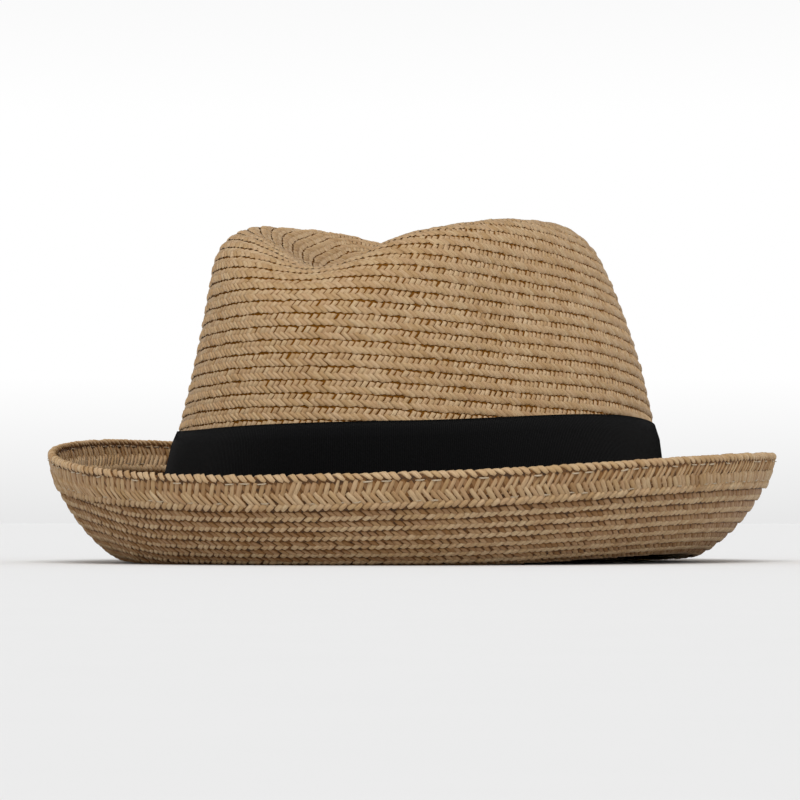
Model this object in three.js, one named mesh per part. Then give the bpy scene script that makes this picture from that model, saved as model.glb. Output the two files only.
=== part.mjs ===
// A straw hat of sewn braid: an oval crown with one long crease in its top, and a short brim rolled up all
// round. Sizes are in millimetres. The hat rests on the plane z = 0, its front is towards -Y and the
// wearer's left side is towards +X.

import * as THREE from 'three';
import { ParametricGeometry } from 'three/addons/geometries/ParametricGeometry.js';

// Plan of the crown at its break, the line where the wall turns into the brim
const HEAD_HALF_LENGTH = 99;
const HEAD_HALF_WIDTH = 84.5;

// Thickness of the pieces, and the gap that pieces keep
const STRAW = 1.8;
const EDGE_THICKNESS = 2.8;
const RIBBON_THICKNESS = 1;
const SWEATBAND_THICKNESS = 1.2;
const GAP = 0.3;

// Top of the crown: the crease runs along the middle, and its floor rises a little at both ends
const CREASE_CENTRE = -10;
const CREASE_HALF_LENGTH = 30;
const CREASE_FLOOR = 88;
const CREASE_END_RISE = 4;

// Brim, from the break outwards: a bend, a slope down, a tight roll round a flat foot, and an open roll.
// Its sides lift off the surface, and its right side rolls up a little more and is a little wider.
const BEND_RADIUS = 4;
const BEND_START = -80;
const SLOPE = -37;
const SLOPE_LENGTH = 6.5;
const TIGHT_RADIUS = 5.5;
const FOOT_WIDTH = 1.8;
const TIGHT_ROLL = 32;
const OPEN_RADIUS = 57;
const SIDE_LIFT = 3.5;
const LEVEL_ARC = 25;
const RIGHT_ROLL = 8;
const RIGHT_WIDTH = 3;

// The wide braid folded over the edge of the brim
const EDGE_WIDTH = 11.5;
const EDGE_RADIUS = 42;

// Heights above the break
const CROWN_START = 0.5;
const RIBBON_BOTTOM = 2;
const RIBBON_TOP = 37;
const SWEATBAND_BOTTOM = 1.5;
const SWEATBAND_TOP = 36;

// Sections of the hat by angle from the front, the same on both sides: height and inset of the crown's
// ridge, outward bulge of its wall, length of its round shoulder, and length of the brim's open roll
const SECTIONS = [
  { angle: 0, ridgeHeight: 91, ridgeInset: 3, bulge: 1, shoulder: 24, rollLength: 23 },
  { angle: 30, ridgeHeight: 103, ridgeInset: 12.5, bulge: 0, shoulder: 18, rollLength: 24.5 },
  { angle: 60, ridgeHeight: 106, ridgeInset: 26.5, bulge: 0.5, shoulder: 13, rollLength: 26.5 },
  { angle: 90, ridgeHeight: 106.5, ridgeInset: 31.5, bulge: 5, shoulder: 13, rollLength: 28 },
  { angle: 120, ridgeHeight: 109, ridgeInset: 28, bulge: 8, shoulder: 17, rollLength: 30.5 },
  { angle: 150, ridgeHeight: 107, ridgeInset: 26, bulge: 8, shoulder: 21, rollLength: 32 },
  { angle: 180, ridgeHeight: 103, ridgeInset: 24, bulge: 8, shoulder: 23, rollLength: 32 },
];
const SECTION_STEP = 30;

// Facets round the hat and along each stretch of a section
const FACETS_ROUND = 64;
const FACETS = { wall: 6, shoulder: 4, top: 5, bend: 2, tight: 2, open: 3, edge: 3, band: 3 };

// Small step along a surface, to find which way it runs
const STEP = 0.004;

const rad = THREE.MathUtils.degToRad;

// One column of the sections at any angle round the hat, on a smooth curve through the rows
function column(name, round) {
  const angle = Math.abs(THREE.MathUtils.radToDeg(Math.atan2(Math.sin(round), Math.cos(round))));
  const last = SECTIONS.length - 1;
  const row = Math.min(Math.floor(angle / SECTION_STEP), last - 1);
  const t = angle / SECTION_STEP - row;
  const before = SECTIONS[Math.abs(row - 1)][name];
  const start = SECTIONS[row][name];
  const end = SECTIONS[row + 1][name];
  const after = SECTIONS[last - Math.abs(last - row - 2)][name];
  const startSlope = (end - before) / 2;
  const endSlope = (after - start) / 2;
  const rise = end - start;
  const square = 3 * rise - 2 * startSlope - endSlope;
  const cube = startSlope + endSlope - 2 * rise;
  return start + t * (startSlope + t * (square + t * cube));
}

// The oval of the break, and the way out from it
function breakOval(round) {
  return new THREE.Vector3(HEAD_HALF_WIDTH * Math.sin(round), -HEAD_HALF_LENGTH * Math.cos(round), 0);
}

function outward(round) {
  return new THREE.Vector3(Math.sin(round) / HEAD_HALF_WIDTH, -Math.cos(round) / HEAD_HALF_LENGTH, 0).normalize();
}

// Height of the break: the brim stands level at the front and back, and its sides are lifted
function breakHeight(round) {
  const bend = BEND_RADIUS * (Math.cos(rad(SLOPE)) - Math.cos(rad(BEND_START)));
  const slope = -SLOPE_LENGTH * Math.sin(rad(SLOPE));
  const roll = TIGHT_RADIUS * (1 - Math.cos(rad(SLOPE)));
  const sideways = THREE.MathUtils.radToDeg(Math.asin(Math.min(Math.abs(Math.sin(round)), 1)));
  return STRAW / 2 + bend + slope + roll + SIDE_LIFT * THREE.MathUtils.smoothstep(sideways, LEVEL_ARC, 90);
}

// A point of a section, out from the break oval and up from the break
function place(round, out, up) {
  const point = breakOval(round).addScaledVector(outward(round), out);
  point.z = breakHeight(round) + up;
  return point;
}

// The wall leans in to the ridge and bulges a little on its way: 0 at the break, 1 at the ridge
function wall(round, t) {
  const inset = column('ridgeInset', round) * t;
  const bulge = column('bulge', round) * 4 * t * (1 - t);
  return place(round, bulge - inset, column('ridgeHeight', round) * t);
}

// The top falls from the ridge to the floor of the crease: 0 at the ridge, 1 at the floor
function creaseFloor(round) {
  const along = -Math.cos(round);
  const back = CREASE_CENTRE + CREASE_HALF_LENGTH * along;
  return new THREE.Vector3(0, back, CREASE_FLOOR + CREASE_END_RISE * along * along);
}

function top(round, t) {
  const ridge = wall(round, 1);
  const floor = creaseFloor(round);
  const point = ridge.clone().lerp(floor, t);
  point.z = THREE.MathUtils.lerp(ridge.z, floor.z, THREE.MathUtils.smoothstep(t, 0, 1));
  return point;
}

// The shoulder is a smooth curve that cuts the corner between the wall and the top. Its handles are this
// share of its reach.
const HANDLE = 0.6;

function shoulder(round) {
  const reach = column('shoulder', round);
  const wallEnd = 1 - reach / column('ridgeHeight', round);
  const topStart = reach / wall(round, 1).distanceTo(creaseFloor(round));
  const start = wall(round, wallEnd);
  const end = top(round, topStart);
  const rise = start.clone().sub(wall(round, wallEnd - STEP)).setLength(reach * HANDLE);
  const fall = top(round, topStart + STEP).sub(end).setLength(reach * HANDLE);
  const curve = new THREE.CubicBezierCurve3(start, start.clone().add(rise), end.clone().sub(fall), end);
  return { curve, wallEnd, topStart };
}

// Middle surface of the crown's straw: 0 to 1 up the wall, 1 to 2 over the shoulder, 2 to 3 into the crease
function crownSurface(round, along) {
  const { curve, wallEnd, topStart } = shoulder(round);
  if (along <= 1) {
    const first = CROWN_START / column('ridgeHeight', round);
    return wall(round, THREE.MathUtils.lerp(first, wallEnd, along));
  }
  if (along <= 2) {
    return curve.getPoint(along - 1);
  }
  return top(round, THREE.MathUtils.lerp(topStart, 1, along - 2));
}

// Way out of the crown's middle surface
function crownNormal(round, along) {
  const reach = Math.min(along, 3 - STEP);
  const up = crownSurface(round, reach + STEP / 2).sub(crownSurface(round, reach - STEP / 2));
  const aside = crownSurface(round + STEP, reach).sub(crownSurface(round - STEP, reach));
  const normal = aside.cross(up).normalize();
  if (along >= 3) {
    normal.x = 0;
  }
  return normal.normalize();
}

function crownPoint(round, along, out) {
  return crownSurface(round, along).addScaledVector(crownNormal(round, along), out);
}

// The brim's section as arcs and straight stretches, each with its length and the angle it turns through
function brimStretches(round) {
  const right = Math.max(0, -Math.sin(round)) ** 2;
  const rollLength = column('rollLength', round) + RIGHT_WIDTH * right;
  const tight = (degrees) => ({ length: TIGHT_RADIUS * rad(degrees), turn: degrees });
  return {
    bend: { length: BEND_RADIUS * rad(SLOPE - BEND_START), turn: SLOPE - BEND_START },
    slope: { length: SLOPE_LENGTH, turn: 0 },
    tightDown: tight(-SLOPE),
    foot: { length: FOOT_WIDTH, turn: 0 },
    tightUp: tight(TIGHT_ROLL + RIGHT_ROLL * right),
    open: { length: rollLength, turn: THREE.MathUtils.radToDeg(rollLength / OPEN_RADIUS) },
    join: { length: GAP, turn: 0 },
    edge: { length: EDGE_WIDTH, turn: THREE.MathUtils.radToDeg(EDGE_WIDTH / EDGE_RADIUS) },
  };
}

// Walks the brim's section to a share of a named stretch, and stands off its middle surface by off
function brimPoint(round, name, share, off) {
  let heading = rad(BEND_START);
  let out = 0;
  let up = 0;
  for (const [stretch, { length, turn }] of Object.entries(brimStretches(round))) {
    const part = stretch === name ? share : 1;
    const turned = rad(turn) * part;
    const middle = heading + turned / 2;
    const chord = turned ? length * part * Math.sin(turned / 2) / (turned / 2) : length * part;
    out += chord * Math.cos(middle);
    up += chord * Math.sin(middle);
    heading += turned;
    if (stretch === name) {
      break;
    }
  }
  return place(round, out - off * Math.sin(heading), up + off * Math.cos(heading));
}

// A closed body swept round the hat: sides lists the points of its section in order, each a function of
// the angle round the hat. A ring's list ends where it starts.
function sweptBody(sides) {
  const surface = (share, step, target) => {
    const round = 2 * Math.PI * share;
    target.copy(sides[Math.round(step * (sides.length - 1))](round));
  };
  return new ParametricGeometry(surface, FACETS_ROUND, sides.length - 1);
}

function shares(from, to, count) {
  return Array.from({ length: count + 1 }, (_, step) => THREE.MathUtils.lerp(from, to, step / count));
}

// Sections of the brim and the edge braid: out along one face and back along the other
function brimSection(stretches, thickness) {
  const stations = [];
  for (const [name, count] of stretches) {
    for (const share of shares(0, 1, count).slice(stations.length ? 1 : 0)) {
      stations.push([name, share]);
    }
  }
  const face = (list, off) => list.map(([name, share]) => (round) => brimPoint(round, name, share, off));
  const under = face(stations, -thickness / 2);
  const over = face([...stations].reverse(), thickness / 2);
  return [...under, ...over, under[0]];
}

// Sections of the bands that follow the crown's wall, between two heights above the break
function bandSection(bottom, height, near, far) {
  const point = (up, off) => (round) => {
    const share = up / column('ridgeHeight', round);
    const slant = wall(round, share + STEP).sub(wall(round, share - STEP)).normalize();
    return wall(round, share).addScaledVector(outward(round).projectOnPlane(slant).normalize(), off);
  };
  const heights = shares(bottom, height, FACETS.band);
  const outside = heights.map((up) => point(up, far));
  const inside = [...heights].reverse().map((up) => point(up, near));
  return [...outside, ...inside, outside[0]];
}

const hat = new THREE.Group();

function addPiece(name, geometry, colour, roughness) {
  const material = new THREE.MeshStandardMaterial({ color: colour, roughness, metalness: 0 });
  const mesh = new THREE.Mesh(geometry, material);
  mesh.name = name;
  hat.add(mesh);
}

// Crown: a hollow shell, open where the head goes in
function crown() {
  const stations = [
    ...shares(0, 1, FACETS.wall),
    ...shares(1, 2, FACETS.shoulder).slice(1),
    ...shares(2, 3, FACETS.top).slice(1),
  ];
  const inside = [...stations].reverse().map((along) => (round) => crownPoint(round, along, -STRAW / 2));
  const outside = stations.map((along) => (round) => crownPoint(round, along, STRAW / 2));
  return sweptBody([...inside, ...outside]);
}

// Brim: the rolled shell from the break to the edge braid
function brim() {
  const stretches = [
    ['bend', FACETS.bend],
    ['slope', 1],
    ['tightDown', FACETS.tight],
    ['foot', 1],
    ['tightUp', FACETS.tight],
    ['open', FACETS.open],
  ];
  return sweptBody(brimSection(stretches, STRAW));
}

addPiece('crown', crown(), 0xb8976c, 0.7);
addPiece('brim', brim(), 0xa8865c, 0.7);
addPiece('edge_braid', sweptBody(brimSection([['edge', FACETS.edge]], EDGE_THICKNESS)), 0x9c7c56, 0.7);

const ribbonInside = STRAW / 2 + GAP;
const ribbon = bandSection(RIBBON_BOTTOM, RIBBON_TOP, ribbonInside, ribbonInside + RIBBON_THICKNESS);
addPiece('ribbon_band', sweptBody(ribbon), 0x141414, 0.8);

const sweatbandOutside = -STRAW / 2 - GAP;
const sweatbandInside = sweatbandOutside - SWEATBAND_THICKNESS;
const sweatband = bandSection(SWEATBAND_BOTTOM, SWEATBAND_TOP, sweatbandInside, sweatbandOutside);
addPiece('sweatband', sweptBody(sweatband), 0x101010, 0.85);

// The origin is the middle of the hat's outline, on the surface that it rests on
const middle = new THREE.Box3().setFromObject(hat).getCenter(new THREE.Vector3());
hat.position.set(-middle.x, -middle.y, 0);

export default hat;
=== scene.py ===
"""Dresses the straw hat: plaited rows on the crown and the brim, a folded edge braid, a ribbed ribbon and
an inner band. Distances in the surface functions are in millimetres; the pieces are in metres."""

import copy
import math
import typing

import bpy
import numpy as np
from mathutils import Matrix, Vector


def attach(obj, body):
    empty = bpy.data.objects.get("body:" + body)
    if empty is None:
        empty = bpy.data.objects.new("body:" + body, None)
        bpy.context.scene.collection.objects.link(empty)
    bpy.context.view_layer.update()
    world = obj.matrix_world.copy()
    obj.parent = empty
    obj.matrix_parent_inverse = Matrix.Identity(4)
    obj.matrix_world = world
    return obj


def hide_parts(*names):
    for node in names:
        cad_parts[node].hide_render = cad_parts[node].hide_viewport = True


bl_info = {
    "name": "Straw hat",
    "version": (1, 0, 0),
    "blender": (4, 5, 0),
    "location": "3D View > Sidebar > Straw hat",
    "description": "Plaits the straw of a creased hat and trims it with ribbon",
    "category": "Add Mesh",
}

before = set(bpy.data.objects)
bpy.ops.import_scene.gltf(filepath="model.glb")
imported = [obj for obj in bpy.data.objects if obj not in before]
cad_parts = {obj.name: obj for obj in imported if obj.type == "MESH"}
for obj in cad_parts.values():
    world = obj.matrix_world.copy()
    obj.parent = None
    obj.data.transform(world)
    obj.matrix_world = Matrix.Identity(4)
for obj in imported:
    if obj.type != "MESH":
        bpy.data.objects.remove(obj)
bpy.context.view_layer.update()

MM = 0.001
TURN = 2 * math.pi

# The hat's shape, as its solids have it: the oval of the break, the crease, the crown's sections by angle
# from the front, the arcs of the brim's section and the edge braid
HEAD_HALF_LENGTH = 99.0
HEAD_HALF_WIDTH = 84.5
CENTRE = (-1.712, -1.444)
STRAW = 1.8
EDGE_THICKNESS = 2.8
CREASE_CENTRE = -10.0
CREASE_HALF_LENGTH = 30.0
CREASE_FLOOR = 88.0
CREASE_END_RISE = 4.0
CROWN_START = 0.5
HANDLE = 0.6
SECTION_STEP = 30.0
SECTIONS = {
    "ridge_height": (91, 103, 106, 106.5, 109, 107, 103),
    "ridge_inset": (3, 12.5, 26.5, 31.5, 28, 26, 24),
    "bulge": (1, 0, 0.5, 5, 8, 8, 8),
    "shoulder": (24, 18, 13, 13, 17, 21, 23),
    "roll_length": (23, 24.5, 26.5, 28, 30.5, 32, 32),
}
BEND_RADIUS = 4.0
BEND_START = math.radians(-80)
SLOPE = math.radians(-37)
SLOPE_LENGTH = 6.5
TIGHT_RADIUS = 5.5
FOOT_WIDTH = 1.8
TIGHT_ROLL = math.radians(32)
RIGHT_ROLL = math.radians(8)
RIGHT_WIDTH = 3.0
OPEN_RADIUS = 57.0
SIDE_LIFT = 3.5
LEVEL_ARC = 25.0
JOIN = 0.3
EDGE_WIDTH = 11.5
EDGE_RADIUS = 42.0

# The straw is pressed flat on the surface that the hat rests on
PRESSED = 0.02

# Where the rows of braid lie: the first gap line above the break, its tilt towards the front, and the
# short line behind the crease's middle that the braid is coiled round. Rows are counted from the first gap
# line, so those behind the ribbon have negative numbers.
LOWEST_ROW = -9
FIRST_LINE = 34.8
LINE_TILT = 8.0
COIL_CENTRE = 7.5
COIL_HALF_LENGTH = 12.5

# The ribbon's upper edge above the break, how it dips to the back and to the right, and its length
RIBBON_TOP = 35.2
RIBBON_BACK_DIP = 2.1
RIBBON_RIGHT_DIP = 2.4
RIBBON_ROUND = 578.0

# Both bands lie this far off the faces of the straw
BAND_CLEARANCE = 0.3

# How finely the surfaces are measured: steps round the hat, samples up the crown, samples for each row of
# the crown and of the brim and over the edge braid, the step for a slope, and the halvings in the crease
ROUND_STEPS = 720
CROWN_SAMPLES = 100
CROWN_ROW_SAMPLES = 10
BRIM_ROW_SAMPLES = 12
EDGE_SAMPLES = 120
SLOPE_STEP = 0.004
HALVINGS = 44


# Sizes and colours that a user would change

def length(name, description, default):
    return bpy.props.FloatProperty(name=name, description=description, default=default * MM, unit="LENGTH")


def colour(name, description, default):
    return bpy.props.FloatVectorProperty(
        name=name, description=description, default=default, subtype="COLOR", size=3, min=0, max=1
    )


class BraidSizes(bpy.types.PropertyGroup):
    row: length("Row height", "Height of one row of braid on the crown", 4.35)
    crown_pitch: length("Crown pitch", "Distance between strands along a row of the crown", 2.1)
    brim_pitch: length("Brim pitch", "Distance between strands along a row of the brim", 2.45)
    edge_pitch: length("Edge pitch", "Distance between strands along the edge braid", 2.5)
    rope_pitch: length("Rim pitch", "Distance between strands along the rim", 2.9)
    brim_rows: bpy.props.IntProperty(
        name="Brim rows", description="Rows of braid across the brim", default=10
    )
    looseness: bpy.props.FloatProperty(
        name="Looseness", description="How unevenly the strands lie",
        default=1.0, subtype="FACTOR", min=0, max=2,
    )


class TrimSizes(bpy.types.PropertyGroup):
    ribbon_thickness: length("Ribbon thickness", "Thickness of the ribbon", 0.8)
    rib_pitch: length("Rib pitch", "Distance between the ribbon's ribs", 0.75)
    rib_depth: length("Rib depth", "Depth of the grooves between ribs", 0.12)
    band_top: length("Inner band height", "Upper edge of the inner band above the break", 36)


class Colours(bpy.types.PropertyGroup):
    pale: colour("Pale straw", "Colour of the palest strands", (0.545, 0.402, 0.238))
    tan: colour("Tan straw", "Colour of the darkest strands", (0.415, 0.268, 0.128))
    # The gap colour is painted shade: the dark deep between the strands and where they sink under.
    gap: colour("Gap", "Colour deep between the strands", (0.155, 0.058, 0.005))
    rosy: colour("Rosy straw", "Colour that some of the strands lean to", (0.48, 0.315, 0.188))
    # Brown straw colours the fibre streaks, and is partly painted shade: the strands that lie deep in the
    # brim and the edge braid take it.
    brown: colour("Brown straw", "Colour of the strands that lie deep in the brim", (0.24, 0.122, 0.044))
    thread: colour("Thread", "Colour of the sewing thread", (0.47, 0.37, 0.25))
    ribbon: colour("Ribbon", "Colour of the ribbon", (0.0016, 0.0016, 0.0017))
    lining: colour("Inner band", "Colour of the inner band", (0.0018, 0.0018, 0.0018))
    floor: colour("Floor", "Colour of the floor", (0.8, 0.8, 0.8))


# Surfaces of the hat. Angles run round the hat from its front towards the wearer's left, in radians.

def column(name, round_):
    """A value of the crown's sections at an angle, on a smooth curve that is the same left and right."""
    angle = np.abs(np.degrees(np.arctan2(np.sin(round_), np.cos(round_))))
    values = np.array(SECTIONS[name], dtype=float)
    last = len(values) - 1
    row = np.minimum((angle // SECTION_STEP).astype(int), last - 1)
    t = angle / SECTION_STEP - row
    start = values[row]
    end = values[row + 1]
    start_slope = (end - values[np.abs(row - 1)]) / 2
    end_slope = (values[last - np.abs(last - row - 2)] - start) / 2
    rise = end - start
    square = 3 * rise - 2 * start_slope - end_slope
    cube = start_slope + end_slope - 2 * rise
    return start + t * (start_slope + t * (square + t * cube))


def smoothstep(x, low, high):
    t = np.clip((x - low) / (high - low), 0, 1)
    return t * t * (3 - 2 * t)


def lerp(a, b, t):
    return a + (b - a) * t


def break_height(round_):
    """Height of the break above the surface that the hat rests on."""
    bend = BEND_RADIUS * (math.cos(SLOPE) - math.cos(BEND_START))
    slope = -SLOPE_LENGTH * math.sin(SLOPE)
    roll = TIGHT_RADIUS * (1 - math.cos(SLOPE))
    sideways = np.degrees(np.arcsin(np.minimum(np.abs(np.sin(round_)), 1)))
    return STRAW / 2 + bend + slope + roll + SIDE_LIFT * smoothstep(sideways, LEVEL_ARC, 90)


def place(round_, out, up):
    """Points out from the break's oval and up from the break."""
    sine = np.sin(round_)
    cosine = np.cos(round_)
    out_x = sine / HEAD_HALF_WIDTH
    out_y = -cosine / HEAD_HALF_LENGTH
    size = np.hypot(out_x, out_y)
    x = HEAD_HALF_WIDTH * sine + out * out_x / size
    y = -HEAD_HALF_LENGTH * cosine + out * out_y / size
    z = break_height(round_) + up
    return np.stack(np.broadcast_arrays(x, y, z), axis=-1)


def wall(round_, t):
    """Points up the crown's wall, with t from 0 at the break to 1 at the ridge."""
    bulge = column("bulge", round_) * 4 * t * (1 - t)
    return place(round_, bulge - column("ridge_inset", round_) * t, column("ridge_height", round_) * t)


def crease_floor(round_):
    """Points on the line at the bottom of the crease."""
    along = -np.cos(round_)
    back = CREASE_CENTRE + CREASE_HALF_LENGTH * along
    up = CREASE_FLOOR + CREASE_END_RISE * along * along
    return np.stack(np.broadcast_arrays(0 * along, back, up), axis=-1)


def top(round_, t):
    """Points over the crown's top, with t from 0 at the ridge to 1 at the bottom of the crease."""
    ridge = wall(round_, 1.0)
    floor = crease_floor(round_)
    t = np.asarray(t)[..., None]
    point = lerp(ridge, floor, t)
    point[..., 2:] = lerp(ridge[..., 2:], floor[..., 2:], smoothstep(t, 0, 1))
    return point


def height_in_crease(x, y):
    """Height of the top at a place seen from above, found by halving the angles its section can have."""
    x = np.maximum(np.abs(x), 1e-6)
    low = np.full(x.shape, 1e-5)
    high = np.full(x.shape, math.pi - 1e-5)
    for _ in range(HALVINGS):
        angle = (low + high) / 2
        ridge = wall(angle, 1.0)
        floor = crease_floor(angle)
        share = np.clip(x / np.maximum(ridge[..., 0], 1e-9), 0, 1)
        ahead = y - lerp(floor[..., 1], ridge[..., 1], share) > 0
        low = np.where(ahead, angle, low)
        high = np.where(ahead, high, angle)
    return lerp(ridge[..., 2], floor[..., 2], smoothstep(1 - share, 0, 1))


def unit(v):
    """Vectors of length 1."""
    return v / np.maximum(np.linalg.norm(v, axis=-1, keepdims=True), 1e-12)


def crown_paths(columns, samples):
    """Paths up the crown: the wall, the round shoulder, and straight in to the line of the coil."""
    round_ = np.arange(columns) * TURN / columns
    reach = column("shoulder", round_)
    wall_end = 1 - reach / column("ridge_height", round_)
    top_start = reach / np.linalg.norm(wall(round_, 1.0) - crease_floor(round_), axis=-1)
    start = wall(round_, wall_end)
    end = top(round_, top_start)
    rise = unit(start - wall(round_, wall_end - SLOPE_STEP)) * (reach * HANDLE)[:, None]
    fall = unit(top(round_, top_start + SLOPE_STEP) - end) * (reach * HANDLE)[:, None]
    first = CROWN_START / column("ridge_height", round_)
    up = [wall(round_, lerp(first, wall_end, t)) for t in np.linspace(0, 1, samples)[:-1]]
    for t in np.linspace(0, 1, samples // 2)[:-1]:
        s = 1 - t
        bend = 3 * s * s * t * (start + rise) + 3 * s * t * t * (end - fall)
        up.append(s**3 * start + bend + t**3 * end)
    for t in np.linspace(0, 1, samples):
        coil_y = COIL_CENTRE - COIL_HALF_LENGTH * np.cos(round_)
        x = end[:, 0] * (1 - t)
        y = lerp(end[:, 1], coil_y, t)
        up.append(np.stack([x, y, height_in_crease(x, y)], axis=-1))
    points = np.stack(up, axis=1)
    steps = np.linalg.norm(np.diff(points, axis=1), axis=-1)
    along = CROWN_START + np.concatenate([np.zeros((columns, 1)), np.cumsum(steps, axis=1)], axis=1)
    on_top = along[:, (samples - 1) + (samples // 2 - 1)]
    return round_, points, along, on_top


class Surface:
    """A surface as a table of points round the hat by rows across it, with its normals."""

    def __init__(self, points, first, last, flip=False):
        points = points + np.array([*CENTRE, 0])
        aside = np.roll(points, -1, axis=0) - np.roll(points, 1, axis=0)
        across = np.gradient(points, axis=1)
        normals = unit(np.cross(aside, across))
        if flip:
            normals = -normals
        self.points = points
        self.normals = normals
        self.first = first
        self.last = last

    def sample(self, table, round_, row):
        """Values of a table at an angle and a row, blended from its nearest entries."""
        columns, rows = table.shape[:2]
        i = (np.asarray(round_) / TURN % 1) * columns
        j = np.clip((np.asarray(row) - self.first) / (self.last - self.first), 0, 1) * (rows - 1)
        i0 = np.floor(i).astype(int)
        j0 = np.minimum(np.floor(j).astype(int), rows - 2)
        di = (i - i0)[..., None]
        dj = (j - j0)[..., None]
        i0 = i0 % columns
        i1 = (i0 + 1) % columns
        near = lerp(table[i0, j0], table[i1, j0], di)
        far = lerp(table[i0, j0 + 1], table[i1, j0 + 1], di)
        return lerp(near, far, dj)

    def at(self, round_, row, off=0.0):
        """Points at an angle and a row, standing off the surface."""
        normal = unit(self.sample(self.normals, round_, row))
        return self.sample(self.points, round_, row) + normal * np.asarray(off)[..., None]


def crown_surface(row_height):
    """The crown by rows of braid, counted up from the first gap line to the line of the coil."""
    round_, points, along, on_top = crown_paths(ROUND_STEPS, CROWN_SAMPLES)
    start = FIRST_LINE + LINE_TILT * np.cos(round_)
    rows = (along - start[:, None]) / row_height
    whole = (along[:, -1] - start) / row_height
    count = round(float(whole.mean()))
    share = np.clip((along - on_top[:, None]) / (along[:, -1] - on_top)[:, None], 0, 1)
    rows = rows + (count - whole)[:, None] * share**2
    steps = np.linspace(LOWEST_ROW, count, (count - LOWEST_ROW) * CROWN_ROW_SAMPLES + 1)
    table = np.empty((len(round_), len(steps), 3))
    for i in range(len(round_)):
        for axis in range(3):
            table[i, :, axis] = np.interp(steps, rows[i], points[i, :, axis])
    heights = np.stack([np.interp(steps, rows[i], along[i]) for i in range(len(round_))])
    surface = Surface(table, LOWEST_ROW, count)
    surface.heights = heights[..., None]
    return surface


def brim_walk(round_, distance_share, wanted):
    """Points and headings along the brim's section, by share of the way over the stretches of one name."""
    right = np.maximum(0, -np.sin(round_)) ** 2
    roll = column("roll_length", round_) + RIGHT_WIDTH * right
    tight = TIGHT_ROLL + RIGHT_ROLL * right
    stretches = [
        ("brim", BEND_RADIUS * (SLOPE - BEND_START), SLOPE - BEND_START),
        ("brim", SLOPE_LENGTH, 0.0),
        ("brim", -TIGHT_RADIUS * SLOPE, -SLOPE),
        ("brim", FOOT_WIDTH, 0.0),
        ("brim", TIGHT_RADIUS * tight, tight),
        ("brim", roll, roll / OPEN_RADIUS),
        ("join", JOIN, 0.0),
        ("edge", EDGE_WIDTH, EDGE_WIDTH / EDGE_RADIUS),
    ]
    whole = sum(size for name, size, _ in stretches if name == wanted) + 0 * round_
    left = whole * distance_share
    heading = BEND_START + 0 * round_
    out = 0 * round_
    up = 0 * round_
    for name, size, turn in stretches:
        size = size + 0 * round_
        if name == wanted:
            part = np.clip(left / size, 0, 1)
            left = np.maximum(left - size, 0)
        elif wanted == "edge":
            part = 1.0
        else:
            break
        turned = turn * part
        middle = heading + turned / 2
        half = np.maximum(np.abs(turned / 2), 1e-9)
        chord = size * part * np.sin(half) / half
        out = out + chord * np.cos(middle)
        up = up + chord * np.sin(middle)
        heading = heading + turned
    return out, up, heading


def brim_surface(rows, off):
    """One face of the brim by rows of braid, counted out from the break."""
    round_ = np.arange(ROUND_STEPS) * TURN / ROUND_STEPS
    steps = []
    for share in np.linspace(0, 1, rows * BRIM_ROW_SAMPLES + 1):
        out, up, heading = brim_walk(round_, share, "brim")
        steps.append(place(round_, out - off * np.sin(heading), up + off * np.cos(heading)))
    return Surface(np.stack(steps, axis=1), 0, rows, flip=off > 0)


def edge_surface(thickness):
    """Both faces of the edge braid and its rim, by distance from its inner edge on the lower face."""
    round_ = np.arange(ROUND_STEPS) * TURN / ROUND_STEPS
    half = thickness / 2
    flat = EDGE_WIDTH - half
    rim = math.pi * half
    whole = 2 * flat + rim
    steps = []
    for distance in np.linspace(0, whole, EDGE_SAMPLES + 1):
        turn = min(max((distance - flat) / half, 0), math.pi)
        off = -half * math.cos(turn)
        ahead = half * math.sin(turn)
        share = min(distance, flat, whole - distance) / EDGE_WIDTH
        out, up, heading = brim_walk(round_, share, "edge")
        out = out - off * np.sin(heading) + ahead * np.cos(heading)
        up = up + off * np.cos(heading) + ahead * np.sin(heading)
        steps.append(place(round_, out, up))
    return Surface(np.stack(steps, axis=1), 0, whole)


def ribbon_top(round_):
    """Height of the ribbon's upper edge above the break."""
    return RIBBON_TOP + RIBBON_BACK_DIP * np.cos(round_) + RIBBON_RIGHT_DIP * np.sin(round_)


# Working with Blender's own tools

def deselect():
    if bpy.context.object and bpy.context.object.mode != "OBJECT":
        bpy.ops.object.mode_set(mode="OBJECT")
    bpy.ops.object.select_all(action="DESELECT")


def added(name):
    piece = bpy.context.object
    piece.name = name
    piece.data.name = name
    return piece


def pick_vertices(piece, test):
    """Selects in edit mode the vertices whose place passes a test."""
    bpy.ops.object.mode_set(mode="OBJECT")
    for part in (piece.data.polygons, piece.data.edges):
        part.foreach_set("select", [False] * len(part))
    for vertex in piece.data.vertices:
        vertex.select = bool(test(vertex.co))
    bpy.ops.object.mode_set(mode="EDIT")


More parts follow.
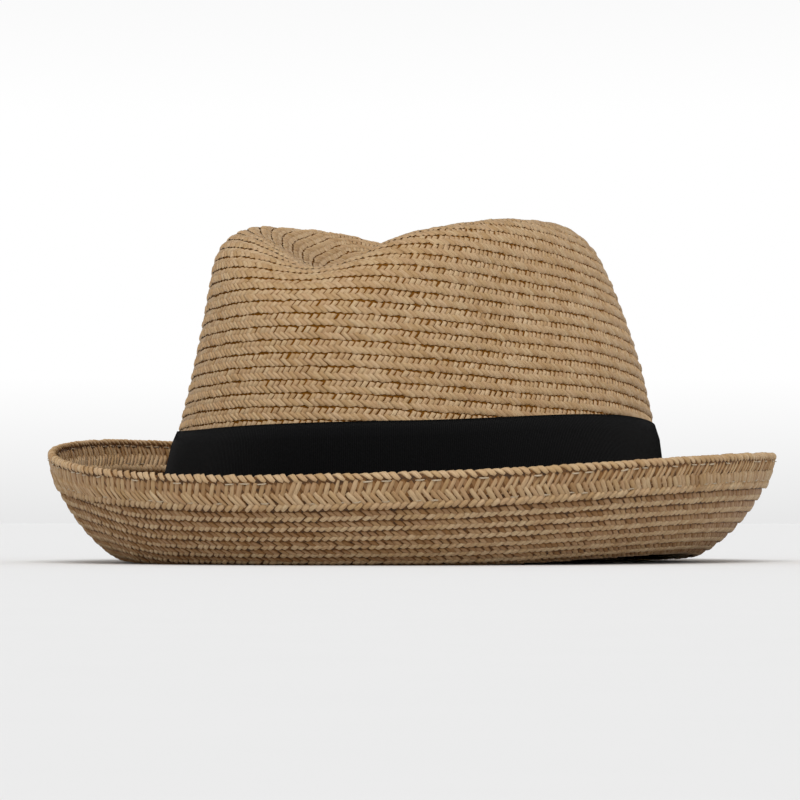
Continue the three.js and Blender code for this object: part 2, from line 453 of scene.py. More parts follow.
def strand_shape(name, start_width, end_width, start_rise, end_rise, cuts=0):
    """A flat strand, 1 long, 2 wide and 1 high: a grid with its middle raised and its ends narrowed."""
    middle = 0.5
    inner = 0.9
    flat_width = 2.3
    flat_length = 1.7
    deselect()
    bpy.ops.mesh.primitive_grid_add(x_subdivisions=3, y_subdivisions=3, size=2)
    piece = added(name)
    bpy.ops.object.mode_set(mode="EDIT")
    bpy.ops.mesh.select_mode(type="VERT")
    pick_vertices(piece, lambda co: abs(co.y) < middle)
    bpy.ops.transform.resize(value=(1, flat_width, 1), center_override=(0, 0, 0))
    pick_vertices(piece, lambda co: abs(co.y) < inner and abs(co.x) < middle)
    bpy.ops.transform.translate(value=(0, 0, 1))
    pick_vertices(piece, lambda co: abs(co.y) < inner and co.x < -inner)
    bpy.ops.transform.translate(value=(0, 0, start_rise))
    pick_vertices(piece, lambda co: abs(co.y) < inner and co.x > inner)
    bpy.ops.transform.translate(value=(0, 0, end_rise))
    pick_vertices(piece, lambda co: co.x < -inner)
    bpy.ops.transform.resize(value=(1, start_width, 1), center_override=(-1, 0, 0))
    pick_vertices(piece, lambda co: co.x > inner)
    bpy.ops.transform.resize(value=(1, end_width, 1), center_override=(1, 0, 0))
    pick_vertices(piece, lambda co: abs(co.x) < middle)
    bpy.ops.transform.resize(value=(flat_length, 1, 1), center_override=(0, 0, 0))
    bpy.ops.mesh.select_all(action="SELECT")
    bpy.ops.transform.translate(value=(1, 0, 0))
    bpy.ops.transform.resize(value=(0.5, 1, 1), center_override=(0, 0, 0))
    if cuts:
        bpy.ops.mesh.subdivide(number_cuts=cuts)
    bpy.ops.object.mode_set(mode="OBJECT")
    return piece


def mesh_points(piece):
    points = np.empty(len(piece.data.vertices) * 3)
    piece.data.vertices.foreach_get("co", points)
    return points.reshape(-1, 3)


def taken(piece):
    """The points and faces of a shape that is copied, which is then removed."""
    shape = mesh_points(piece), np.array([tuple(face.vertices) for face in piece.data.polygons])
    mesh = piece.data
    bpy.data.objects.remove(piece)
    bpy.data.meshes.remove(mesh)
    return shape


def piece_from(name, points, faces):
    mesh = bpy.data.meshes.new(name)
    mesh.vertices.add(len(points))
    mesh.vertices.foreach_set("co", (points * MM).ravel())
    mesh.loops.add(faces.size)
    mesh.loops.foreach_set("vertex_index", faces.ravel().astype(np.int32))
    mesh.polygons.add(len(faces))
    mesh.polygons.foreach_set("loop_start", np.arange(len(faces), dtype=np.int32) * faces.shape[1])
    mesh.update(calc_edges=True)
    mesh.polygons.foreach_set("use_smooth", np.ones(len(faces), dtype=bool))
    piece = bpy.data.objects.new(name, mesh)
    bpy.context.collection.objects.link(piece)
    return piece


def add_map(piece, name, across, up):
    """A UV map from two values for each vertex."""
    mesh = piece.data
    corners = np.empty(len(mesh.loops), dtype=np.int32)
    mesh.loops.foreach_get("vertex_index", corners)
    values = np.stack([across[corners], up[corners]], axis=-1)
    layer = mesh.uv_layers.new(name=name)
    layer.data.foreach_set("uv", values.ravel().astype(np.float32))


def add_row_map(piece, surface, pitch):
    """A UV map for a skin on both sides of a surface. It counts strands across and rows up, and each row
    has a whole number of strands."""
    mesh = piece.data
    skin = np.empty(len(mesh.loops) * 2)
    mesh.uv_layers["skin"].data.foreach_get("uv", skin)
    up = surface.last - np.abs(2 * skin[1::2] - 1) * (surface.last - surface.first)
    starts = np.empty(len(mesh.polygons), dtype=np.int32)
    corners = np.empty(len(mesh.polygons), dtype=np.int32)
    mesh.polygons.foreach_get("loop_start", starts)
    mesh.polygons.foreach_get("loop_total", corners)
    row = np.floor(np.add.reduceat(up, starts) / corners)
    angles = np.linspace(0, TURN, ROUND_STEPS // 4 + 1)
    strands = {}
    for k in np.unique(row):
        ring = surface.at(angles, k + 0.5)
        strands[k] = max(1, round(np.linalg.norm(np.diff(ring, axis=0), axis=-1).sum() / pitch))
    across = skin[::2] * np.repeat([strands[k] for k in row], corners)
    layer = mesh.uv_layers.new(name="rows")
    layer.data.foreach_set("uv", np.stack([across, up], axis=-1).ravel().astype(np.float32))


def finish_piece(piece, node, material):
    """Gives a piece its material and its body, and hides the solid that it stands for."""
    piece.data.materials.append(material)
    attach(piece, "root")
    if node:
        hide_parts(node)


# Plaiting

# The strands' pitch varies by this share. Their sides lie this far under the surface, and a strand's colour
# is free of painted shade when its middle stands this far above its sides.
UNEVEN = 0.10
SUNK = -0.1
LIT = 0.5

# How loosely strands lie: turned (mm aside for each mm along), longer and wider by a share, moved along
# and across by mm, and higher by a share. The fibres of each strand begin at one of many places.
TURNED = 0.05
LONGER = 0.05
WIDER = 0.08
MOVED = 0.08
HIGHER = 0.12
FIBRE_PLACES = 50

# A row of the brim is this wide. Its braid runs level, and climbs a row over the arc before this share of a
# turn from the front.
BRIM_ROW = 4.5
CLIMB_END = 0.114
CLIMB_ARC = 0.058


class Lay(typing.NamedTuple):
    """How a strand lies in its row: its ends as (mm along, mm up), its width, and its heights at start,
    middle and end in mm. tint runs from pale at 0 over tan at 1 to brown at 2. tilt raises one side, and
    pairing moves strands together in twos, both in mm. slant 1 cuts the ends along the row, and 0 cuts
    them straight off. row is the row's height in mm."""

    start: tuple
    end: tuple
    width: float
    rise: tuple
    tint: tuple = (0.0, 1.0)
    tilt: float = 0.0
    pairing: float = 0.0
    slant: float = 0.0
    row: float = 1.0
    looseness: float = 1.0


def steadily(turns):
    """Rows climbed after some turns: one for each."""
    return turns


def level(turns):
    """Rows climbed after some turns: none."""
    return 0 * turns


def in_steps(turns):
    """Level, but for a short climb of one row at the end of each turn."""
    gone = turns - CLIMB_END
    whole = np.floor(gone)
    return whole + smoothstep(gone - whole, 1 - CLIMB_ARC, 1)


class Winding:
    """Braid wound round a surface over some turns, with places for strands at a slightly uneven pitch."""

    def __init__(self, surface, first_row, turns, pitch, rng, middle=0.5, climb=level):
        self.surface = surface
        self.first_row = first_row
        self.climb = climb
        fine = np.linspace(*turns, int((turns[1] - turns[0]) * ROUND_STEPS / 2) + 1)
        steps = np.linalg.norm(np.diff(self.at(fine, middle), axis=0), axis=-1)
        gone = np.concatenate([[0], np.cumsum(steps)])
        count = int(gone[-1] / pitch)
        places = np.cumsum(1 + UNEVEN * rng.normal(size=count))
        places = (places - rng.random()) * gone[-1] / places[-1]
        self.turn = np.interp(places, gone, fine)
        self.rate = np.interp(places, gone, np.gradient(fine, gone))

    def at(self, turns, across, off=0.0):
        """Points of the winding, which runs from the front to the wearer's right."""
        return self.surface.at(-turns * TURN, self.first_row + self.climb(turns) + across, off)

    def place(self, along, across, off):
        """Points of each strand: along and off in mm, across in rows."""
        return self.at(self.turn[:, None] - along * self.rate[:, None], across, off)

    def part(self, mask):
        """The same winding with only some of its places."""
        some = copy.copy(self)
        some.turn = self.turn[mask]
        some.rate = self.rate[mask]
        return some


def lay_strands(winding, shape, rng, lay):
    """Copies a strand's points and faces to each place of a winding, as a lay says."""
    points, faces = shape
    count = len(winding.turn)
    jitter = lay.looseness * rng.normal(size=(count, 6))
    start = np.array(lay.start)
    way = np.array(lay.end) - start
    size = np.linalg.norm(way)
    way = way / size
    side = np.array([-way[1], way[0]])
    along = points[None, :, 0] * (size * (1 + LONGER * jitter[:, 1]))[:, None]
    across = points[None, :, 1] * (lay.width / 2 * (1 + WIDER * jitter[:, 2]))[:, None]
    across = across + (along - size / 2) * (TURNED * jitter[:, 0])[:, None]
    along = along - lay.slant * across * way[0] / way[1]
    swap = np.where(np.arange(count) % 2 == 0, lay.pairing, -lay.pairing)
    x = start[0] + along * way[0] + across * side[0] + (MOVED * jitter[:, 3] + swap)[:, None]
    y = start[1] + along * way[1] + across * side[1] + (MOVED * jitter[:, 4])[:, None]
    high = np.interp(points[:, 0], (0, 0.5, 1), lay.rise)
    raised = (high - SUNK) * points[:, 2]
    off = SUNK + raised * (1 + HIGHER * jitter[:, 5])[:, None] + lay.tilt * points[:, 1]
    placed = winding.place(x, y / lay.row, off)
    placed[..., 2] = np.maximum(placed[..., 2], PRESSED)
    body = (faces[None] + (np.arange(count) * len(points))[:, None, None]).reshape(-1, faces.shape[1])
    tint = lerp(lay.tint[0], lay.tint[1], rng.random(count))
    fibre = rng.random(count) * FIBRE_PLACES
    # Painted light: from 0 on a strand's sides, which take the painted gap shade, to 1 on a middle raised
    # enough to be free of it.
    light = points[:, 2] * np.clip((high - SUNK) / LIT, 0, 1)
    maps = {
        "strand": ((along + fibre[:, None]).ravel(), (across + 0 * along).ravel()),
        "tint_and_light": (np.repeat(tint, len(points)), np.tile(light, count)),
    }
    return placed.reshape(-1, 3), body, maps


def join_strands(name, parts):
    """One piece from the strands of several lays, with their UV maps."""
    offset = 0
    points = []
    faces = []
    for part, body, _ in parts:
        points.append(part)
        faces.append(body + offset)
        offset += len(part)
    piece = piece_from(name, np.concatenate(points), np.concatenate(faces))
    for key in ("strand", "tint_and_light"):
        add_map(piece, key, *(np.concatenate([maps[key][k] for _, _, maps in parts]) for k in (0, 1)))
    return piece


def swept(name, columns, stations, lay):
    """A closed skin swept round the hat from a grid. Its sides are joined, and its last strip runs back to
    where its section began."""
    deselect()
    bpy.ops.mesh.primitive_grid_add(x_subdivisions=columns, y_subdivisions=stations + 1, size=2)
    piece = added(name)
    points = mesh_points(piece)
    round_ = (points[:, 0] + 1) / 2 * TURN
    share = (points[:, 1] + 1) / 2 * (stations + 1) / stations
    share = np.where(share > 1 + 0.5 / stations, 0.0, np.minimum(share, 1))
    piece.data.vertices.foreach_set("co", (lay(round_, share) * MM).ravel())
    add_map(piece, "skin", round_ / TURN, share)
    bpy.ops.object.mode_set(mode="EDIT")
    bpy.ops.mesh.select_all(action="SELECT")
    bpy.ops.mesh.remove_doubles(threshold=0.00001)
    bpy.ops.mesh.normals_make_consistent(inside=False)
    bpy.ops.object.mode_set(mode="OBJECT")
    bpy.ops.object.shade_smooth()
    return piece


# Finishes

UNIFORM = {"specular": "Specular IOR Level", "sheen": "Sheen Weight", "sheen_roughness": "Sheen Roughness"}


class Value:
    """A socket of a material's nodes, with arithmetic that adds its Math nodes."""

    def __init__(self, finish, socket):
        self.finish = finish
        self.socket = socket

    def math(self, operation, a, b):
        return self.finish.math(operation, a, b)

    def __add__(self, other):
        return self.math("ADD", self, other)

    def __sub__(self, other):
        return self.math("SUBTRACT", self, other)

    def __rsub__(self, other):
        return self.math("SUBTRACT", other, self)

    def __mul__(self, other):
        return self.math("MULTIPLY", self, other)

    def __pow__(self, other):
        return self.math("POWER", self, other)


class Finish:
    """A material and the nodes that it is built from."""

    def __init__(self, name, roughness, **uniform):
        self.material = bpy.data.materials.new(name)
        self.material.use_nodes = True
        self.tree = self.material.node_tree
        self.shader = self.tree.nodes["Principled BSDF"]
        self.shader.inputs["Roughness"].default_value = roughness
        for socket, value in uniform.items():
            self.shader.inputs[UNIFORM[socket]].default_value = value

    def node(self, kind, settings=None, values=None):
        """Adds a node with its settings and a value or a link at its inputs, and returns its outputs."""
        node = self.tree.nodes.new(kind)
        for key, value in (settings or {}).items():
            setattr(node, key, value)
        for key, value in (values or {}).items():
            socket = node.inputs[key]
            if isinstance(value, Value):
                self.tree.links.new(value.socket, socket)
            elif socket.type == "RGBA":
                socket.default_value = (*value, 1)
            else:
                socket.default_value = value
        return [Value(self, socket) for socket in node.outputs]

    def math(self, operation, *values):
        return self.node("ShaderNodeMath", {"operation": operation}, dict(enumerate(values)))[0]

    def uv(self, name):
        return self.node("ShaderNodeUVMap", {"uv_map": name})[0]

    def place(self):
        """Object coordinates."""
        return self.node("ShaderNodeTexCoord")[3]

    def split(self, vector):
        return self.node("ShaderNodeSeparateXYZ", values={0: vector})

    def join(self, x, y, z):
        return self.node("ShaderNodeCombineXYZ", values={0: x, 1: y, 2: z})[0]

    def noise(self, vector, scale, detail=2.0, roughness=0.5):
        """Noise from 0 to 1."""
        values = {"Vector": vector, "Scale": scale, "Detail": detail, "Roughness": roughness}
        return self.node("ShaderNodeTexNoise", values=values)[0]

    def ramp(self, value, low, high):
        """From 0 at a low value to 1 at a high one."""
        return self.node("ShaderNodeMapRange", values={0: value, 1: low, 2: high})[0]

    def mix(self, factor, a, b):
        """A colour from a at factor 0 to b at factor 1."""
        return self.node("ShaderNodeMix", {"data_type": "RGBA"}, {0: factor, 6: a, 7: b})[2]

    def feed(self, socket, value):
        """Links a value to an input of the shader."""
        self.tree.links.new(value.socket, self.shader.inputs[socket])

    def bump(self, height, distance, strength=1.0):
        values = {"Height": height, "Distance": distance, "Strength": strength}
        self.feed("Normal", self.node("ShaderNodeBump", values=values)[0])


def straw(name, colours, depth_of_edge=0.7):
    """Plaited straw: every strand has its own tone and fine fibres, and its colour is painted darker
    towards the gap shade where it goes under (painted shade).
    """
    finish = Finish(name, 0.58, specular=0.2)
    tint_and_light = finish.split(finish.uv("tint_and_light"))
    along = finish.split(finish.uv("strand"))
    fibres = finish.noise(finish.join(along[0] * 0.35, along[1] * 5.0, tint_and_light[0] * 40.0), 1.0, 3.0, 0.6)
    blotch = finish.noise(finish.place(), 55.0, 3.0)
    tint = tint_and_light[0] + (blotch - 0.5) * 1.2
    shade = finish.mix(finish.ramp(tint, 0.0, 1.0), tuple(colours.pale), tuple(colours.tan))
    shade = finish.mix(finish.ramp(tint, 1.0, 2.0), shade, tuple(colours.brown))
    shade = finish.mix(finish.math("FRACT", tint_and_light[0] * 13.0) * 0.5, shade, tuple(colours.rosy))
    streaked = finish.mix(finish.ramp(fibres, 0.45, 0.75) * 0.6, shade, tuple(colours.brown))
    # Painted shade: the colour goes to the gap shade where a strand's sides and ends sink low, as its light
    # factor says.
    low = (1 - finish.ramp(tint_and_light[1], 0.0, depth_of_edge)) ** 2.0
    finish.feed("Base Color", finish.mix(low, streaked, tuple(colours.gap)))
    finish.feed("Roughness", finish.ramp(fibres, 0.2, 0.8) * 0.2 + 0.48)
    finish.bump(fibres, 0.0002, 0.8)
    return finish.material


def woven_base(name, colours):
    """Dark with painted gap shade where the strands cover it, so it shows only between them, and rows of
    small chevrons on the hidden inside, painted darker in their grooves and gap lines (painted shade).
    """
    finish = Finish(name, 0.7, specular=0.05)
    skin = finish.split(finish.uv("skin"))
    rows = finish.split(finish.uv("rows"))
    lean = finish.math("PINGPONG", rows[1], 0.5)
    chevron = finish.math("FRACT", rows[0] + lean * 1.6)
    crest = 1 - finish.math("ABSOLUTE", chevron - 0.5) * 2.0
    row = finish.math("FRACT", rows[1])
    gap_line = finish.ramp(finish.math("ABSOLUTE", row - 0.5), 0.36, 0.5)
    speckle = finish.noise(finish.place(), 900.0)
    height = finish.ramp(crest, 0.0, 0.35) * (1 - gap_line)
    pale = finish.mix(finish.ramp(speckle, 0.3, 0.7), tuple(colours.tan), tuple(colours.pale))
    hidden = finish.math("GREATER_THAN", skin[1], 0.5)
    # Painted shade: the outside takes the gap shade all over, and inside the grooves and gap lines go to
    # it; the chevron pattern itself is the straw's own.
    finish.feed("Base Color", finish.mix(height * hidden, tuple(colours.gap), pale))
    finish.bump(height, 0.0004)
    return finish.material


def dark_base(name, colours):
    """Straw that lies under strands all over and only shows between them, coloured with painted shade: the
    gap shade, speckled with a deeper one.
    """
    finish = Finish(name, 0.75)
    speckle = finish.noise(finish.place(), 700.0)
    deeper_shade = tuple(0.3 * part for part in colours.gap)
    finish.feed("Base Color", finish.mix(finish.ramp(speckle, 0.35, 0.7), deeper_shade, tuple(colours.gap)))
    finish.bump(speckle, 0.0002)
    return finish.material


def cloth(name, tint, roughness, ribs_round):
    """Black cloth with fine upright ribs, whose crests are painted lighter (painted light), with a random
    fuzz of lighter tone.
    """
    finish = Finish(name, roughness, specular=0.06, sheen=0.015, sheen_roughness=0.4)
    skin = finish.split(finish.uv("skin"))
    warp = finish.math("SINE", skin[0] * (TURN * ribs_round))
    fuzz = finish.noise(finish.place(), 1500.0)
    rib_height_and_light = finish.ramp(warp * 0.35 + fuzz, 0.1, 0.9)
    # Painted light: the colour brightens with the ribs' height, and partly with a random fuzz of tone.
    finish.feed("Base Color", finish.mix(rib_height_and_light, tuple(tint), tuple(2.6 * part for part in tint)))
    finish.bump(rib_height_and_light, 0.0002)
    return finish.material


def sewing_thread(name, colours):
    """Pale, slightly glossy thread."""
    finish = Finish(name, 0.55)
    along = finish.split(finish.uv("strand"))
    twist = finish.math("SINE", along[0] * 12.0 + along[1] * 9.0)
    shadow = tuple(0.7 * part for part in colours.thread)
    finish.feed("Base Color", finish.mix(finish.ramp(twist, -1.0, 1.0), shadow, tuple(colours.thread)))
    return finish.material


# Operators

def settings():
    """The sizes of the braid, the sizes of the trim and the colours."""
    scene = bpy.context.scene
    return scene.hat_braid, scene.hat_trim, scene.hat_colours


class HAT_OT_crown(bpy.types.Operator):
    """Plaits the crown from one long braid, from the ribbon up to the coil in the crease"""

    bl_idname = "hat.crown"
    bl_label = "Crown"

    def execute(self, context):
        braid, _, colours = settings()
        row = braid.row / MM
        rng = np.random.default_rng(11)
        surface = crown_surface(row)
        columns = 192
        strips_in_row = 3
        outside = 0.05
        inside = -0.55
        inside_wave = 0.3
        count = surface.last - surface.first

        def lay(round_, share):
            rows = surface.last - np.abs(2 * share - 1) * count
            wave = inside_wave * np.abs(np.sin(math.pi * rows))
            return surface.at(round_, rows, np.where(share < 0.5, outside, inside - wave))

        shell = swept("crown_base", columns, 2 * count * strips_in_row, lay)
        add_row_map(shell, surface, braid.crown_pitch / MM)
        finish_piece(shell, "crown", woven_base("hidden_straw", colours))

        short = taken(strand_shape("short_strand", 0.4, 1.15, 0.5, 0.7))
        long_ = taken(strand_shape("long_strand", 0.9, 0.8, 0.85, 0.7))
        start_row = -3
        coil_gap = 0.3
        behind_ribbon = 2.5
        turns = (0.0, surface.last - start_row - coil_gap)
        winding = Winding(surface, start_row, turns, braid.crown_pitch / MM, rng, climb=steadily)
        angle = -winding.turn * TURN
        height = surface.sample(surface.heights, angle, start_row + winding.turn + 0.5)[..., 0]
        winding = winding.part(height > ribbon_top(angle) - behind_ribbon)
        upper = Lay(
            (-0.5, 0.40 * row), (1.1, 0.94 * row), 1.6, (0.35, 0.6, 0.25), (0.1, 1.2), 0.1, slant=0.6,
            row=row, looseness=braid.looseness,
        )
        lower = Lay(
            (-0.8, 0.57 * row), (2.2, 0.05 * row), 1.7, (0.5, 0.78, 0.5), (0.3, 1.2), 0.16, slant=0.6,
            row=row, looseness=braid.looseness,
        )
        wall_rows = 14.0
        material = straw("crown_straw", colours)
        for name, low in (("crown_wall_braid", True), ("crown_top_braid", False)):
            part = winding.part((start_row + winding.turn < wall_rows) == low)
            strands = [lay_strands(part, short, rng, upper), lay_strands(part, long_, rng, lower)]
            finish_piece(join_strands(name, strands), None, material)
        return {"FINISHED"}


class HAT_OT_brim(bpy.types.Operator):
    """Plaits both faces of the rolled brim"""

    bl_idname = "hat.brim"
    bl_label = "Brim"

    def execute(self, context):
        braid, _, colours = settings()
        rng = np.random.default_rng(12)
        rows = braid.brim_rows
        row = BRIM_ROW
        columns = 240
        strips_in_row = 6
        relief = 0.35
        half = STRAW / 2 - relief
        under = brim_surface(rows, -half)
        over = brim_surface(rows, half)

        def lay(round_, share):
            out = rows - np.abs(2 * share - 1) * rows
            return np.where((share < 0.5)[:, None], under.at(round_, out), over.at(round_, out))

        base = swept("brim_base", columns, rows * strips_in_row, lay)
        finish_piece(base, "brim", dark_base("brim_core", colours))

        short = taken(strand_shape("short_strand", 0.75, 1.05, 0.6, 0.45))
        tooth = taken(strand_shape("tooth", 0.8, 0.85, 0.85, 0.6))
        # The upper strands are tinted towards brown and the teeth towards pale: painted shade under the
        # overhang of the row above, and painted light on the teeth.
        upper = Lay(
            (1.15, 0.42 * row), (-0.95, 0.89 * row), 1.65, (0.55, 0.5, 0.1), (1.2, 2.4), -0.14,
            pairing=0.1, slant=0.8, row=row, looseness=braid.looseness,
        )
        teeth = Lay(
            (-1.35, 0.10 * row), (0.95, 0.53 * row), 1.7, (0.5, 0.75, 0.5), (-0.2, 0.9), -0.18,
            pairing=0.08, slant=0.3, row=row, looseness=braid.looseness,
        )
        material = straw("brim_straw", colours, 1.05)
        for name, surface in (("brim_under_braid", under), ("brim_over_braid", over)):
            turns = (CLIMB_END - CLIMB_ARC, CLIMB_END + rows)
            winding = Winding(surface, 0, turns, braid.brim_pitch / MM, rng, climb=in_steps)
            strands = [lay_strands(winding, short, rng, upper), lay_strands(winding, tooth, rng, teeth)]
            finish_piece(join_strands(name, strands), None, material)
        return {"FINISHED"}


class HAT_OT_edge(bpy.types.Operator):
    """Folds the wide edge braid over the brim's edge"""

    bl_idname = "hat.edge"
    bl_label = "Edge braid"

    def execute(self, context):
        braid, _, colours = settings()
        rng = np.random.default_rng(13)
        columns = 240
        stations = 56
        relief = 0.45
        core = edge_surface(EDGE_THICKNESS - 2 * relief)
        whole = core.last
        brim = brim_surface(braid.brim_rows, 0)
        into_brim = 0.4
        near_end = 0.4999

        def lay(round_, share):
            at_end = (np.abs(share - 0.5) > near_end)[:, None]
            sealed = brim.at(round_, braid.brim_rows - into_brim)
            return np.where(at_end, sealed, core.at(round_, share * whole))

        base = swept("edge_base", columns, stations, lay)
        finish_piece(base, "edge_braid", dark_base("edge_core", colours))

        thin = taken(strand_shape("thin_strand", 0.85, 0.8, 0.6, 0.6))
        tooth = taken(strand_shape("edge_tooth", 0.7, 0.9, 0.8, 0.6))
        rope = taken(strand_shape("rope_strand", 0.7, 0.7, 0.7, 0.7, cuts=2))
        rim = whole / 2
        loose = braid.looseness
        once = (0.0, 1.0)
        winding = Winding(core, 0.0, once, braid.edge_pitch / MM, rng, rim)
        stitches = Winding(core, 0.0, once, 2 * braid.edge_pitch / MM, rng, rim)
        round_rim = Winding(core, 0.0, once, braid.rope_pitch / MM, rng, rim)
        stitched_share = 0.4
        stitch_lines = (2.9, 9.6)
        parts = []
        threads = []
        for start in (0.0, whole):
            def up(along, y):
                return along, abs(start - y)

            lays = (
                # The first lay lies deepest and is tinted brown: painted shade in the holes between the
                # upper strands.
                (thin, Lay(up(1.4, 4.6), up(-1.4, 9.8), 1.9, (0.05, 0.1, 0.05), (1.4, 2.3))),
                (thin, Lay(up(-1.1, 3.8), up(1.3, 9.8), 1.55, (0.2, 0.5, 0.3), (0.4, 1.6), 0.1, 0.22)),
                (thin, Lay(up(1.7, 1.9), up(-1.8, 6.3), 1.7, (0.4, 0.75, 0.5), (0.1, 1.4), -0.12, 0.1)),
                (tooth, Lay(up(-1.6, 0.4), up(1.05, 2.5), 1.75, (0.6, 1.0, 0.65), (0.1, 1.2), -0.14, 0.1)),
            )
            for shape, lay_ in lays:
                parts.append(lay_strands(winding, shape, rng, lay_._replace(looseness=loose)))
            for y in stitch_lines:
                some = stitches.part(rng.random(len(stitches.turn)) < stitched_share)
                stitch = Lay(up(-1.5, y), up(1.5, y + 0.1), 0.3, (0.5, 0.95, 0.5), looseness=loose)
                threads.append(lay_strands(some, thin, rng, stitch))
        wrap = Lay(
            (2.3, rim - 1.8), (-2.2, rim + 1.5), 1.6, (0.35, 0.8, 0.35), (0.1, 1.2), -0.12,
            pairing=0.08, looseness=loose,
        )
        parts.append(lay_strands(round_rim, rope, rng, wrap))
        braided = join_strands("edge_strands", parts)
        finish_piece(braided, None, straw("edge_straw", colours, 0.9))
        sewn = join_strands("edge_stitches", threads)
        finish_piece(sewn, None, sewing_thread("thread", colours))
        return {"FINISHED"}


def band(name, columns, stations, bottom, height, near, far, groove=0.0, ribs=0):
    """A band round the crown's wall, from a height above the break to another that may change with the
    angle, and between two distances off the middle of the straw."""

    def lay(round_, share):
        outer = share < 0.5
        t = np.where(outer, 2 * share, 2 - 2 * share)
        ridge = column("ridge_height", round_)
        up = lerp(bottom, height(round_), t) / ridge
        middle = wall(round_, up)
        slant = unit(wall(round_, up + SLOPE_STEP) - wall(round_, up - SLOPE_STEP))
        flat = place(round_, 1.0, 0.0) - place(round_, 0.0, 0.0)
        out = unit(flat - slant * (flat * slant).sum(axis=-1, keepdims=True))
        groove_here = groove * (0.5 - 0.5 * np.cos(ribs * round_))
        off = np.where(outer, far - groove_here, near)
        return middle + out * off[:, None] + np.array([*CENTRE, 0])

    return swept(name, columns, stations, lay)


class HAT_OT_ribbon(bpy.types.Operator):
    """Winds the ribbed black ribbon round the foot of the crown"""

    bl_idname = "hat.ribbon"
    bl_label = "Ribbon"

    def execute(self, context):
        _, trim, colours = settings()
        inside = STRAW / 2 + BAND_CLEARANCE
        ribs = round(RIBBON_ROUND * MM / trim.rib_pitch)
        columns_in_rib = 3
        piece = band(
            "ribbon", ribs * columns_in_rib, 14, 2.0, ribbon_top,
            inside, inside + trim.ribbon_thickness / MM, trim.rib_depth / MM, ribs,
        )
        finish_piece(piece, "ribbon_band", cloth("grosgrain", colours.ribbon, 0.8, ribs))
        return {"FINISHED"}


class HAT_OT_inner_band(bpy.types.Operator):
    """Sews the black inner band into the head opening"""

    bl_idname = "hat.inner_band"
    bl_label = "Inner band"

    def execute(self, context):
        _, trim, colours = settings()
        outside = -STRAW / 2 - BAND_CLEARANCE
        thickness = 1.0
        ribs = 700

        def height(round_):
            return trim.band_top / MM + 0 * round_

        piece = band("inner_band", 256, 24, 1.5, height, outside - thickness, outside)
        finish_piece(piece, "sweatband", cloth("inner_cloth", colours.lining, 0.9, ribs))
        return {"FINISHED"}


def direction(way):
    """The turn of a lamp or a camera that looks along a way."""
    return Vector(way).to_track_quat("-Z", "Y")


# Brightness of the studio by height: like the floor at the horizon, white behind the hat, dimmer above
SKY = ((0.0, 0.81), (0.4, 0.55), (0.035, 1.0), (0.1, 1.0))


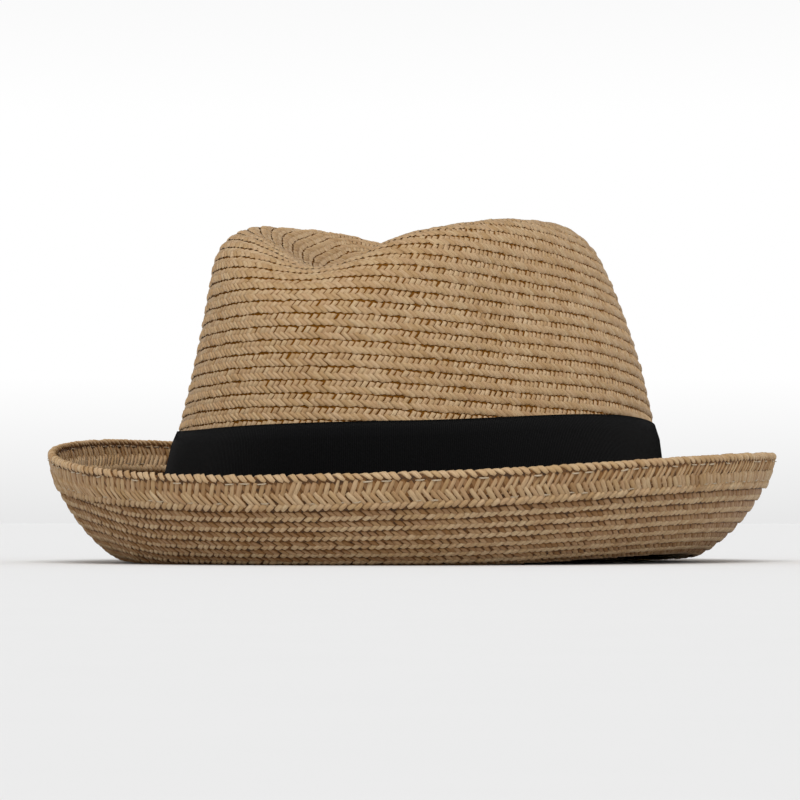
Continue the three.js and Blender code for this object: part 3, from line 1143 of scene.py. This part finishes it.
class HAT_OT_stage(bpy.types.Operator):
    """Sets the floor, the soft lights and the camera"""

    bl_idname = "hat.stage"
    bl_label = "Stage"

    def execute(self, context):
        _, _, colours = settings()
        deselect()
        bpy.ops.mesh.primitive_plane_add(size=30, location=(0, 0, 0))
        floor = added("floor")
        finish = Finish("pale_floor", 0.9)
        grain = finish.noise(finish.place(), 40.0)
        shade = tuple(colours.floor)
        finish.feed("Base Color", finish.mix(grain, shade, tuple(0.985 * part for part in shade)))
        floor.data.materials.append(finish.material)

        world = bpy.data.worlds.new("studio")
        world.use_nodes = True
        nodes = world.node_tree.nodes
        way = nodes.new("ShaderNodeTexCoord")
        parts = nodes.new("ShaderNodeSeparateXYZ")
        sky = nodes.new("ShaderNodeValToRGB")
        for i, (height, shade) in enumerate(SKY):
            stop = sky.color_ramp.elements[i] if i < 2 else sky.color_ramp.elements.new(height)
            stop.position = height
            stop.color = (shade, shade, shade, 1)
        for source, socket in (
            (way.outputs["Generated"], parts.inputs[0]),
            (parts.outputs[2], sky.inputs[0]),
            (sky.outputs[0], nodes["Background"].inputs["Color"]),
        ):
            world.node_tree.links.new(source, socket)
        bpy.context.scene.world = world
        bpy.context.scene.view_settings.view_transform = "Standard"
        sun = bpy.data.lights.new("window", "SUN")
        sun.energy = 2.0
        sun.angle = math.radians(35)
        lamp = bpy.data.objects.new("window", sun)
        lamp.rotation_euler = direction((-0.35, 0.75, -0.95)).to_euler()
        bpy.context.collection.objects.link(lamp)

        camera = bpy.data.cameras.new("camera")
        camera.sensor_width = 36
        camera.lens = 182.0
        azimuth = math.radians(23)
        elevation = math.radians(-1.7)
        distance = 1.4
        target = (-0.0050, -0.0028, 0.056)
        eye = (
            target[0] + distance * math.sin(azimuth) * math.cos(elevation),
            target[1] - distance * math.cos(azimuth) * math.cos(elevation),
            target[2] + distance * math.sin(elevation),
        )
        stand = bpy.data.objects.new("camera", camera)
        stand.location = eye
        stand.rotation_euler = direction([t - e for t, e in zip(target, eye)]).to_euler()
        bpy.context.collection.objects.link(stand)
        bpy.context.scene.camera = stand
        return {"FINISHED"}


class HAT_PT_panel(bpy.types.Panel):
    """Lists the hat's pieces and its sizes"""

    bl_idname = "HAT_PT_panel"
    bl_label = "Straw hat"
    bl_space_type = "VIEW_3D"
    bl_region_type = "UI"
    bl_category = "Straw hat"

    def draw(self, context):
        for operator in OPERATORS:
            self.layout.operator(operator.bl_idname)
        for group in settings():
            for name in group.__annotations__:
                self.layout.prop(group, name)


OPERATORS = (HAT_OT_stage, HAT_OT_crown, HAT_OT_brim, HAT_OT_edge, HAT_OT_ribbon, HAT_OT_inner_band)
GROUPS = (("hat_braid", BraidSizes), ("hat_trim", TrimSizes), ("hat_colours", Colours))


def register():
    for _, group in GROUPS:
        bpy.utils.register_class(group)
    for name, group in GROUPS:
        setattr(bpy.types.Scene, name, bpy.props.PointerProperty(type=group))
    for item in (*OPERATORS, HAT_PT_panel):
        bpy.utils.register_class(item)


def unregister():
    for item in reversed((*OPERATORS, HAT_PT_panel)):
        bpy.utils.unregister_class(item)
    for name, _ in GROUPS:
        delattr(bpy.types.Scene, name)
    for _, group in reversed(GROUPS):
        bpy.utils.unregister_class(group)


def main():
    register()
    bpy.ops.hat.stage()
    bpy.ops.hat.crown()
    bpy.ops.hat.brim()
    bpy.ops.hat.edge()
    bpy.ops.hat.ribbon()
    bpy.ops.hat.inner_band()


if __name__ == "__main__":
    main()
